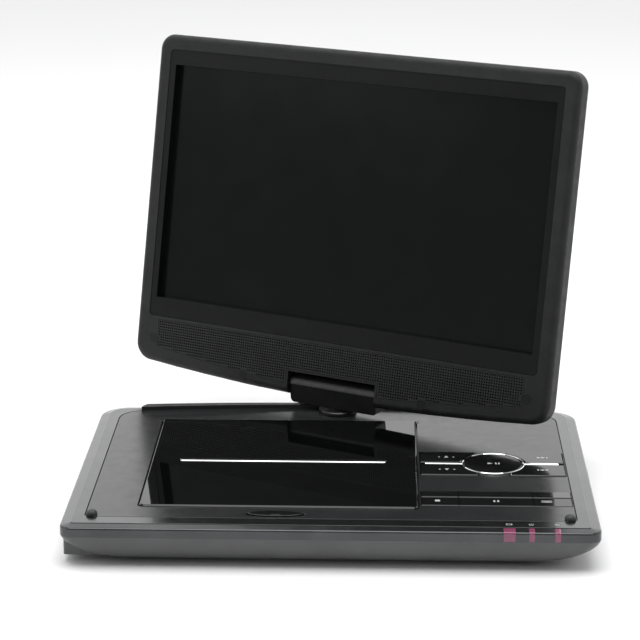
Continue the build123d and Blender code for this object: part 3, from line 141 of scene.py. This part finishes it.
def plastic(name, low, high, rough, grain, mottle=90.0, flecks=None, metallic=0.0, level=0.5, coat=0.0):
    """Moulded or painted surface: cloudy colour from low to high, uneven gloss and a fine grain.

    grain is the scale and the height in metres of the fine bumps. mottle is the scale of the clouds.
    flecks gives the scale, the size and the colour of small light specks.
    """
    make = Nodes(name)
    shader = make.shader
    cloud = make.noise(mottle, 3.0)
    colour = make.ramp(cloud, low, high)
    if flecks:
        size, amount, shade = flecks
        spots = make.add("ShaderNodeTexVoronoi")
        spots.inputs["Scale"].default_value = size
        make.link(make.place, spots.inputs["Vector"])
        mask = make.span(spots.outputs["Distance"], 1.0, 0.0, amount * 0.6, amount)
        mix = make.add("ShaderNodeMix", data_type="RGBA")
        make.link(mask, mix.inputs[0])
        make.link(colour, mix.inputs[6])
        mix.inputs[7].default_value = (*shade, 1)
        colour = mix.outputs[2]
    make.link(colour, shader.inputs["Base Color"])
    uneven = make.noise(mottle * 2.3, 4.0)
    make.link(make.span(uneven, rough[0], rough[1]), shader.inputs["Roughness"])
    shader.inputs["Metallic"].default_value = metallic
    shader.inputs["Specular IOR Level"].default_value = level
    if coat:
        shader.inputs["Coat Weight"].default_value = coat
        shader.inputs["Coat Roughness"].default_value = COAT_ROUGHNESS
    scale, distance = grain
    make.link(make.bump(make.noise(scale, 2.0, 0.6), distance), shader.inputs["Normal"])
    return make.material


def metal(name, low, high, rough, stretch=(1, 1, 1), scale=900.0, distance=0.000004):
    """Metal with fine drawn lines along one direction."""
    make = Nodes(name)
    shader = make.shader
    lines = make.noise(scale, 3.0, 0.6, stretch)
    make.link(make.ramp(lines, low, high), shader.inputs["Base Color"])
    make.link(make.span(lines, rough[0], rough[1]), shader.inputs["Roughness"])
    shader.inputs["Metallic"].default_value = 1.0
    make.link(make.bump(lines, distance), shader.inputs["Normal"])
    return make.material


def grey(value, tint=0.0):
    """A grey that leans towards blue by the share tint."""
    return (value, value * (1 + tint * 0.5), value * (1 + tint))


# cases and panels
LOWER = plastic("lower_plastic", grey(0.078, 0.03), grey(0.096, 0.03), rough=(0.36, 0.46),
                grain=(2600, 0.00003), mottle=60, flecks=(1500, 0.22, grey(0.11)))
GLOSS = plastic("rim_paint", grey(0.058, 0.05), grey(0.072, 0.05), rough=(0.17, 0.23),
                grain=(900, 0.000002), mottle=70, metallic=0.9, coat=0.18)
PANEL = plastic("panel_paint", grey(0.016, 0.08), grey(0.021, 0.08), rough=(0.20, 0.27), grain=(900, 0.000003),
                mottle=80, flecks=(2600, 0.20, grey(0.05)), level=0.38)
KEY = plastic("key_plastic", grey(0.004, 0.08), grey(0.006, 0.08), rough=(0.07, 0.12), grain=(800, 0.000002),
              mottle=110, level=0.36)
LID = plastic("lid_plastic", grey(0.0016, 0.15), grey(0.0026, 0.15), rough=(0.015, 0.035),
              grain=(300, 0.0000007), mottle=50, level=0.4)
RAIL = plastic("rail_plastic", grey(0.018, 0.03), grey(0.023, 0.03), rough=(0.40, 0.50), grain=(2400, 0.00003))

# screen and hinge
HOUSING = plastic("housing_grain", grey(0.009, 0.10), grey(0.015, 0.10), rough=(0.46, 0.60),
                  grain=(1900, 0.00010), mottle=120, flecks=(1500, 0.26, grey(0.034, 0.08)), level=0.34)
BEZEL = plastic("bezel_plastic", grey(0.0035, 0.2), grey(0.0050, 0.2), rough=(0.30, 0.38),
                grain=(2200, 0.000012), level=0.24)
HINGE = plastic("hinge_plastic", grey(0.008, 0.05), grey(0.011, 0.05), rough=(0.26, 0.36),
                grain=(2400, 0.000018))
GRILLE = plastic("grille_plastic", grey(0.011, 0.10), grey(0.016, 0.10), rough=(0.30, 0.40),
                 grain=(2400, 0.000014), level=0.36)
GLASS = plastic("screen_film", (0.0042, 0.0054, 0.0048), (0.0052, 0.0064, 0.0058), rough=(0.16, 0.20),
                grain=(9000, 0.000002), mottle=25, level=0.24)

# small parts and prints
CAP = plastic("cap_rubber", grey(0.007, 0.02), grey(0.010, 0.02), rough=(0.50, 0.60), grain=(2600, 0.00004),
              mottle=140, level=0.3)
RUBBER = plastic("dark_rubber", (0.024, 0.029, 0.027), (0.032, 0.038, 0.036), rough=(0.50, 0.65),
                 grain=(1800, 0.00005), mottle=140)
BLACK = plastic("black_plastic", grey(0.006), grey(0.010), rough=(0.35, 0.50), grain=(2000, 0.00003),
                mottle=120)
WHITE = plastic("white_plastic", grey(0.60), grey(0.68), rough=(0.35, 0.45), grain=(1500, 0.00002),
                mottle=120)
INK = plastic("pale_ink", grey(0.40, 0.03), grey(0.50, 0.03), rough=(0.45, 0.60), grain=(4000, 0.000004),
              mottle=300)
BOARD = plastic("board_green", (0.010, 0.065, 0.025), (0.016, 0.085, 0.032), rough=(0.25, 0.35),
                grain=(1200, 0.00002), mottle=200)
WINDOW = plastic("window_red", (0.20, 0.045, 0.095), (0.26, 0.060, 0.125), rough=(0.06, 0.10),
                 grain=(900, 0.000002), mottle=120, coat=0.5)
LENS = plastic("pickup_lens", (0.20, 0.28, 0.45), (0.25, 0.35, 0.55), rough=(0.03, 0.05),
               grain=(500, 0.000001), mottle=200, coat=1.0)

# metals
CHROME = metal("bright_chrome", grey(0.72), grey(0.80), (0.05, 0.09), (0.2, 1, 1), 500, 0.000001)
STEEL = metal("plain_steel", grey(0.40), grey(0.52), (0.28, 0.38))
FOIL = metal("cell_foil", grey(0.50), grey(0.60), (0.30, 0.42), scale=200, distance=0.00002)

looks = {
    LOWER: ["lower_case", "battery_pack"],
    GLOSS: ["upper_case"],
    PANEL: ["top_panel"],
    KEY: ["open_button", "play_key", "volume_down_key", "volume_up_key", "skip_back_key", "skip_forward_key",
          "stop_key", "pause_key", "menu_key"],
    LID: ["disc_lid"],
    HOUSING: ["screen_front", "screen_rear"],
    BEZEL: ["screen_bezel"],
    HINGE: ["hinge_cover_front", "hinge_cover_rear", "swivel_collar"],
    RAIL: ["rear_rail"],
    RUBBER: ["rubber_feet", "screen_bumpers", "deck_dampers"],
    CAP: ["screw_caps"],
    BLACK: ["battery_latch", "disc_tray", "side_sockets", "power_switch", "disc_hub", "laser_sled",
            "board_parts", "speakers"],
    WHITE: ["status_lights", "backlight"],
    BOARD: ["main_board", "key_board", "screen_board"],
    WINDOW: ["indicator_windows"],
    GLASS: ["lcd_panel"],
    CHROME: ["lid_strip", "key_trim"],
    STEEL: ["case_screws", "inner_screws", "deck_chassis", "deck_motors", "guide_rods", "lead_screw",
            "lid_catch", "swivel_bracket", "swivel_shaft", "swivel_washers", "tilt_axle", "screen_screws",
            "hinge_arms"],
    FOIL: ["battery_cells"],
    LENS: ["objective_lens"],
    GRILLE: ["speaker_grille"],
}
for material, names in looks.items():
    for name in names:
        node = nodes[name]
        node.data.materials.clear()
        node.data.materials.append(material)


# ------------------------------------------------------------------ mesh helpers


def new_object(name, mesh, material):
    piece = bpy.data.objects.new(name, mesh)
    bpy.context.scene.collection.objects.link(piece)
    piece.data.materials.clear()
    piece.data.materials.append(material)
    return piece


RIGHT = Vector((1, 0, 0))
BACK = Vector((0, 1, 0))
UP = Vector((0, 0, 1))
PRINT_HEIGHT = 0.05 * MM
PRINT_SINK = 0.02 * MM  # how far a print reaches into the face under it


def symbol(name, body, outlines, origin):
    """Thin raised print on a level face: closed outlines, in metres from the origin."""
    work = bmesh.new()
    for outline in outlines:
        corners = [work.verts.new(origin + RIGHT * x + BACK * y - UP * PRINT_SINK) for x, y in outline]
        face = work.faces.new(corners)
        face.normal_update()
        if face.normal.dot(UP) < 0:
            face.normal_flip()
        lifted = bmesh.ops.extrude_face_region(work, geom=[face])
        moved = [item for item in lifted["geom"] if isinstance(item, bmesh.types.BMVert)]
        bmesh.ops.translate(work, verts=moved, vec=UP * (PRINT_HEIGHT + PRINT_SINK))
    bmesh.ops.recalc_face_normals(work, faces=work.faces)
    mesh = bpy.data.meshes.new(name)
    work.to_mesh(mesh)
    work.free()
    piece = new_object(name, mesh, INK)
    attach(piece, body)


def box_outline(x, y, width, height):
    """Rectangle about its middle."""
    left, right = x - width / 2, x + width / 2
    front, back = y - height / 2, y + height / 2
    return [(left, front), (right, front), (right, back), (left, back)]


ARROW_SWEEP = 2.3  # angle in radians from an arrow's tip to each of its rear corners


def arrow(x, y, size, angle):
    """Triangle pointing along angle."""
    points = []
    for turn in (0, ARROW_SWEEP, -ARROW_SWEEP):
        points.append((x + size * math.cos(angle + turn), y + size * math.sin(angle + turn)))
    return points


def ring(x, y, outer, inner, start, end, steps=24):
    """Part of a ring, from one angle to another."""
    points = []
    for step in range(steps + 1):
        angle = start + (end - start) * step / steps
        points.append((x + outer * math.cos(angle), y + outer * math.sin(angle)))
    for step in range(steps, -1, -1):
        angle = start + (end - start) * step / steps
        points.append((x + inner * math.cos(angle), y + inner * math.sin(angle)))
    return points


# ------------------------------------------------------------------ perforated speaker grille

DOT_PITCH = 1.38 * MM
ROW_PITCH = 1.42 * MM
DOT_RADIUS = 0.45 * MM
DIMPLE_DEPTH = 0.9 * MM
# across and up are measured on the screen, from the middle of the tilt axis
GRILLE_FRONT = 8.7 * MM  # the grille's two faces, in front of the tilt axis
GRILLE_BACK = 7.3 * MM
GRILLE_HALF = 110.0 * MM
GRILLE_LOW = 0.6 * MM
GRILLE_RISE = 8.6 * MM  # the bowed lower edge is this much higher at its ends
GRILLE_TOP = 23.6 * MM
FIRST_ROW = 22.7 * MM
ROWS = 16
NOTCH_HALF = 27.7 * MM  # notch round the hinge block
NOTCH_TOP = 8.7 * MM
CAPS = ((112.5 * MM, 13.3 * MM), (54.0 * MM, 0.9 * MM))  # screw caps, across and up
CAP_ROOM = 3.0 * MM
SPEAKER_ACROSS = (61.5 * MM, 96.5 * MM)  # openings in front of the speakers
SPEAKER_UP = (10.0 * MM, 18.0 * MM)
EDGE_ROOM = 0.25 * MM  # plain rim between a dot and the plate's edges
CUT_PAST = 1.0 * MM  # how far a cutter stands out of the plate


def screen_point(across, up, depth):
    return PIVOT + ALONG * across + UPWARDS * up + FACING * depth


def prisms(spots, radius, low, high, sides=8):
    """Many small prisms that stand along the screen's facing direction, as one mesh."""
    verts = []
    faces = []
    for across, up in spots:
        start = len(verts)
        for depth in (low, high):
            for corner in range(sides):
                angle = 2 * math.pi * (corner + 0.5) / sides
                side = radius * math.cos(angle)
                rise = radius * math.sin(angle)
                verts.append(screen_point(across + side, up + rise, depth))
        faces.append([start + corner for corner in range(sides)][::-1])
        faces.append([start + sides + corner for corner in range(sides)])
        for corner in range(sides):
            after = (corner + 1) % sides
            faces.append([start + corner, start + after, start + sides + after, start + sides + corner])
    mesh = bpy.data.meshes.new("cutter")
    mesh.from_pydata([tuple(v) for v in verts], [], faces)
    return mesh


def inside_grille(across, up, margin):
    """True where a dot fits on the grille's face."""
    low = GRILLE_LOW + GRILLE_RISE * (across / GRILLE_HALF) ** 2 + margin
    if abs(across) > GRILLE_HALF - margin or up > GRILLE_TOP - margin or up < low:
        return False
    if abs(across) < NOTCH_HALF + margin and up < NOTCH_TOP + margin:
        return False
    for cap_across, cap_up in CAPS:
        if math.hypot(abs(across) - cap_across, up - cap_up) < CAP_ROOM + margin:
            return False
    return True


def in_speaker(across, up):
    beside = SPEAKER_ACROSS[0] < abs(across) < SPEAKER_ACROSS[1]
    return beside and SPEAKER_UP[0] < up < SPEAKER_UP[1]


def build_grille():
    holes = []
    dimples = []
    columns = int(GRILLE_HALF / DOT_PITCH) + 1
    for row in range(ROWS):
        for column in range(-columns, columns + 1):
            across = column * DOT_PITCH
            up = FIRST_ROW - row * ROW_PITCH
            if not inside_grille(across, up, DOT_RADIUS + EDGE_ROOM):
                continue
            if in_speaker(across, up):
                holes.append((across, up))
            else:
                dimples.append((across, up))
    plate = nodes["speaker_grille"].copy()
    plate.data = nodes["speaker_grille"].data.copy()
    plate.name = "perforated_grille"
    plate.parent = None
    bpy.context.scene.collection.objects.link(plate)
    cuts = (("holes", holes, GRILLE_BACK - CUT_PAST), ("dimples", dimples, GRILLE_FRONT - DIMPLE_DEPTH))
    for name, spots, low in cuts:
        cutter = bpy.data.objects.new(name, prisms(spots, DOT_RADIUS, low, GRILLE_FRONT + CUT_PAST))
        bpy.context.scene.collection.objects.link(cutter)
        cut = plate.modifiers.new(name, "BOOLEAN")
        cut.operation = "DIFFERENCE"
        cut.solver = "EXACT"
        cut.object = cutter
        bpy.context.view_layer.update()
        result = bpy.data.meshes.new_from_object(plate.evaluated_get(bpy.context.evaluated_depsgraph_get()))
        plate.modifiers.clear()
        plate.data = result
        bpy.data.objects.remove(cutter)
    for face in plate.data.polygons:
        face.use_smooth = False
    plate.data.materials.clear()
    plate.data.materials.append(GRILLE)
    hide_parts("speaker_grille")
    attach(plate, "screen")


build_grille()

# ------------------------------------------------------------------ generic symbols on the keys

DOT = 0.9 * MM
STROKE = 0.3 * MM
BAR_HEIGHT = 2.4 * MM
ROW_PRINT_BACK = 6.4 * MM  # from a row key's front edge to the print
ROW_PRINT_DROP = 0.35 * MM  # the front half's level under the key's top


def above(node, shift):
    """A spot on top of a key, shifted to the right of its middle."""
    return top(node) + RIGHT * shift


def front_half(node):
    """A spot on the low front half of a row key."""
    low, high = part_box(node)
    return Vector(((low[0] + high[0]) / 2, low[1] + ROW_PRINT_BACK, high[2] - ROW_PRINT_DROP))


for body, angle in (("volume_up", math.pi / 2), ("volume_down", -math.pi / 2)):
    sides = [box_outline(x, -0.2 * MM, DOT, DOT) for x in (-3.6 * MM, 3.6 * MM)]
    symbol(f"{body}_key_symbol", body, [arrow(0, 0, 1.5 * MM, angle), *sides], above(f"{body}_key", -1 * MM))

for body, angle in (("skip_forward", 0.0), ("skip_back", math.pi)):
    way = math.cos(angle)
    tips = [arrow(x * way, 0, 1.4 * MM, angle) for x in (-1.3 * MM, 0.9 * MM)]
    end_bar = box_outline(2.7 * MM * way, 0, 0.6 * MM, 2.2 * MM)
    symbol(f"{body}_key_symbol", body, [*tips, end_bar], above(f"{body}_key", 3 * MM))

play_bars = [box_outline(x, 0, 0.7 * MM, BAR_HEIGHT) for x in (1.4 * MM, 2.9 * MM)]
symbol("play_symbol", "play", [arrow(-1.6 * MM, 0, 1.6 * MM, 0), *play_bars], top("play_key"))

stop_square = box_outline(-1.2 * MM, 0, BAR_HEIGHT, BAR_HEIGHT)
symbol("stop_symbol", "stop", [stop_square], front_half("stop_key"))

pause_bars = [box_outline(x, 0, DOT, BAR_HEIGHT) for x in (-0.9 * MM, 0.9 * MM)]
symbol("pause_symbol", "pause", pause_bars, front_half("pause_key"))

menu_lines = [box_outline(-2.9 * MM, y, 5.0 * MM, 0.45 * MM) for y in (-1.1 * MM, 0.0, 1.1 * MM)]
symbol("menu_symbol", "menu", menu_lines, front_half("menu_key"))

# marks behind the indicator windows, printed on the rim in front of the panel
case_low, case_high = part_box("upper_case")
MARK_Y = case_low[1] + 8.6 * MM
BATTERY_X = 82.5 * MM
POWER_X = 92.8 * MM
LAMP_X = 104.7 * MM


def mark_spot(x):
    return Vector((x, MARK_Y, case_high[2]))


battery_sides = [box_outline(0, y, 2.6 * MM, STROKE) for y in (0.75 * MM, -0.75 * MM)]
battery_ends = [box_outline(x, 0, STROKE, 1.2 * MM) for x in (-1.15 * MM, 1.15 * MM)]
battery_tip = box_outline(1.5 * MM, 0, STROKE, 0.7 * MM)
symbol("battery_mark", "base", [*battery_sides, *battery_ends, battery_tip], mark_spot(BATTERY_X))

power_ring = ring(0, 0, 1.15 * MM, 0.85 * MM, math.radians(125), math.radians(415))
power_stroke = box_outline(0, 0.75 * MM, STROKE, 1.1 * MM)
symbol("power_mark", "base", [power_ring, power_stroke], mark_spot(POWER_X))

lamp_ring = ring(0, 0, 1.0 * MM, 0.7 * MM, 0, math.radians(359))
symbol("lamp_mark", "base", [lamp_ring, box_outline(0, 0, 0.5 * MM, 0.5 * MM)], mark_spot(LAMP_X))

# ------------------------------------------------------------------ studio

FLOOR_WIDTH = 12.0
floor_corners = [(x, y, 0) for x, y in box_outline(0, 0, FLOOR_WIDTH, FLOOR_WIDTH)]
floor_mesh = bpy.data.meshes.new("floor")
floor_mesh.from_pydata(floor_corners, [], [(0, 1, 2, 3)])
floor_look = plastic("floor_paper", grey(0.90), grey(0.92), rough=(0.8, 0.9), grain=(60, 0.0001), mottle=1.5)
floor = new_object("floor", floor_mesh, floor_look)

# surroundings that brighten from the camera's side towards the back
FADE_START = -0.50
FADE_END = 0.80
DARK_SIDE = 0.24
BRIGHT_SIDE = 1.5
world = bpy.data.worlds.new("studio")
bpy.context.scene.world = world
world.use_nodes = True
tree = world.node_tree
background = tree.nodes["Background"]
background.inputs["Strength"].default_value = 1.0
direction = tree.nodes.new("ShaderNodeTexCoord")
split_axes = tree.nodes.new("ShaderNodeSeparateXYZ")
tree.links.new(direction.outputs["Generated"], split_axes.inputs["Vector"])
fade = tree.nodes.new("ShaderNodeMapRange")
fade.interpolation_type = "SMOOTHSTEP"
fade.inputs["From Min"].default_value = FADE_START
fade.inputs["From Max"].default_value = FADE_END
fade.inputs["To Min"].default_value = DARK_SIDE
fade.inputs["To Max"].default_value = BRIGHT_SIDE
tree.links.new(split_axes.outputs["Y"], fade.inputs["Value"])
tree.links.new(fade.outputs["Result"], background.inputs["Color"])


def lamp(name, where, aim, size, power):
    """Rectangular softbox, in metres and watts."""
    data = bpy.data.lights.new(name, "AREA")
    data.shape = "RECTANGLE"
    data.size, data.size_y = size
    data.energy = power
    light = bpy.data.objects.new(name, data)
    light.location = where
    light.rotation_euler = (Vector(aim) - Vector(where)).to_track_quat("-Z", "Y").to_euler()
    bpy.context.scene.collection.objects.link(light)


lamp("top_softbox", (0.0, -0.1, 1.7), (0, 0, 0.05), (1.6, 1.2), 23)
lamp("left_softbox", (-1.5, -0.5, 0.9), (0, 0, 0.1), (0.9, 0.9), 3.5)
lamp("right_softbox", (1.5, -0.3, 0.9), (0, 0, 0.1), (0.9, 0.9), 1.5)

# ------------------------------------------------------------------ camera

PLACE = (0.0248, -1.1365, 0.4071)
LENS_LENGTH = 135.908  # millimetres, on a sensor 36 mm wide
SHIFT = (0.0006, 0.0070)
YAW = math.radians(-1.620)
PITCH = math.radians(15.513)
ROLL = math.radians(0.064)
forward = Vector((math.sin(YAW) * math.cos(PITCH), math.cos(YAW) * math.cos(PITCH), -math.sin(PITCH)))
sideways = Vector((math.cos(YAW), -math.sin(YAW), 0))
overhead = sideways.cross(forward)
turned = sideways * math.cos(ROLL) + overhead * math.sin(ROLL)
raised = overhead * math.cos(ROLL) - sideways * math.sin(ROLL)
camera_data = bpy.data.cameras.new("camera")
camera_data.sensor_width = 36
camera_data.lens = LENS_LENGTH
camera_data.shift_x, camera_data.shift_y = SHIFT
camera_data.clip_end = 50
camera = bpy.data.objects.new("camera", camera_data)
turn = Matrix((turned, raised, -forward)).transposed().to_4x4()
camera.matrix_world = Matrix.Translation(PLACE) @ turn
bpy.context.scene.collection.objects.link(camera)
bpy.context.scene.camera = camera
bpy.context.scene.view_settings.view_transform = "Standard"
bpy.context.scene.view_settings.look = "None"
